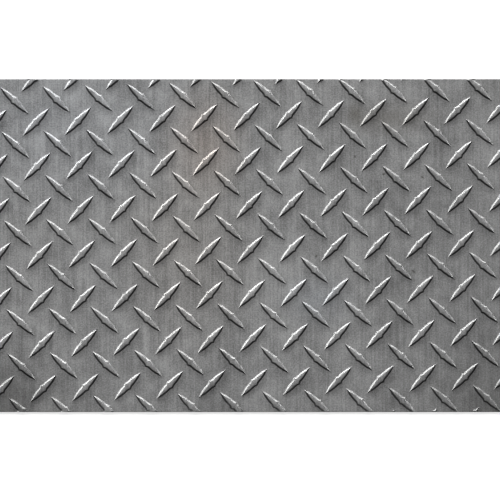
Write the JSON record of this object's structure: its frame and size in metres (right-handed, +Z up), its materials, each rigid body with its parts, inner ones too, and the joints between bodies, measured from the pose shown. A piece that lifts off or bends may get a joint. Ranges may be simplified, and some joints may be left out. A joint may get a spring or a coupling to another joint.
{
  "type": "checker plate",
  "caption": "Flat rectangular steel sheet with a raised non-slip pattern of slender diamond lugs leaning alternately left and right, laid or welded down as flooring, treads and covers.",
  "frame": {"origin": "centre of the flat underside", "axes": "+X along the sheet's length, +Y across it, +Z up through the patterned face"},
  "size_m": [0.6, 0.3, 0.0066],
  "materials": {
    "rolled_steel": "hot-rolled mill finish, dull grey, lightly brushed and worn bright on the lugs"
  },
  "bodies": {
    "root": {"checker_plate": "rolled_steel"}
  },
  "joints": []
}
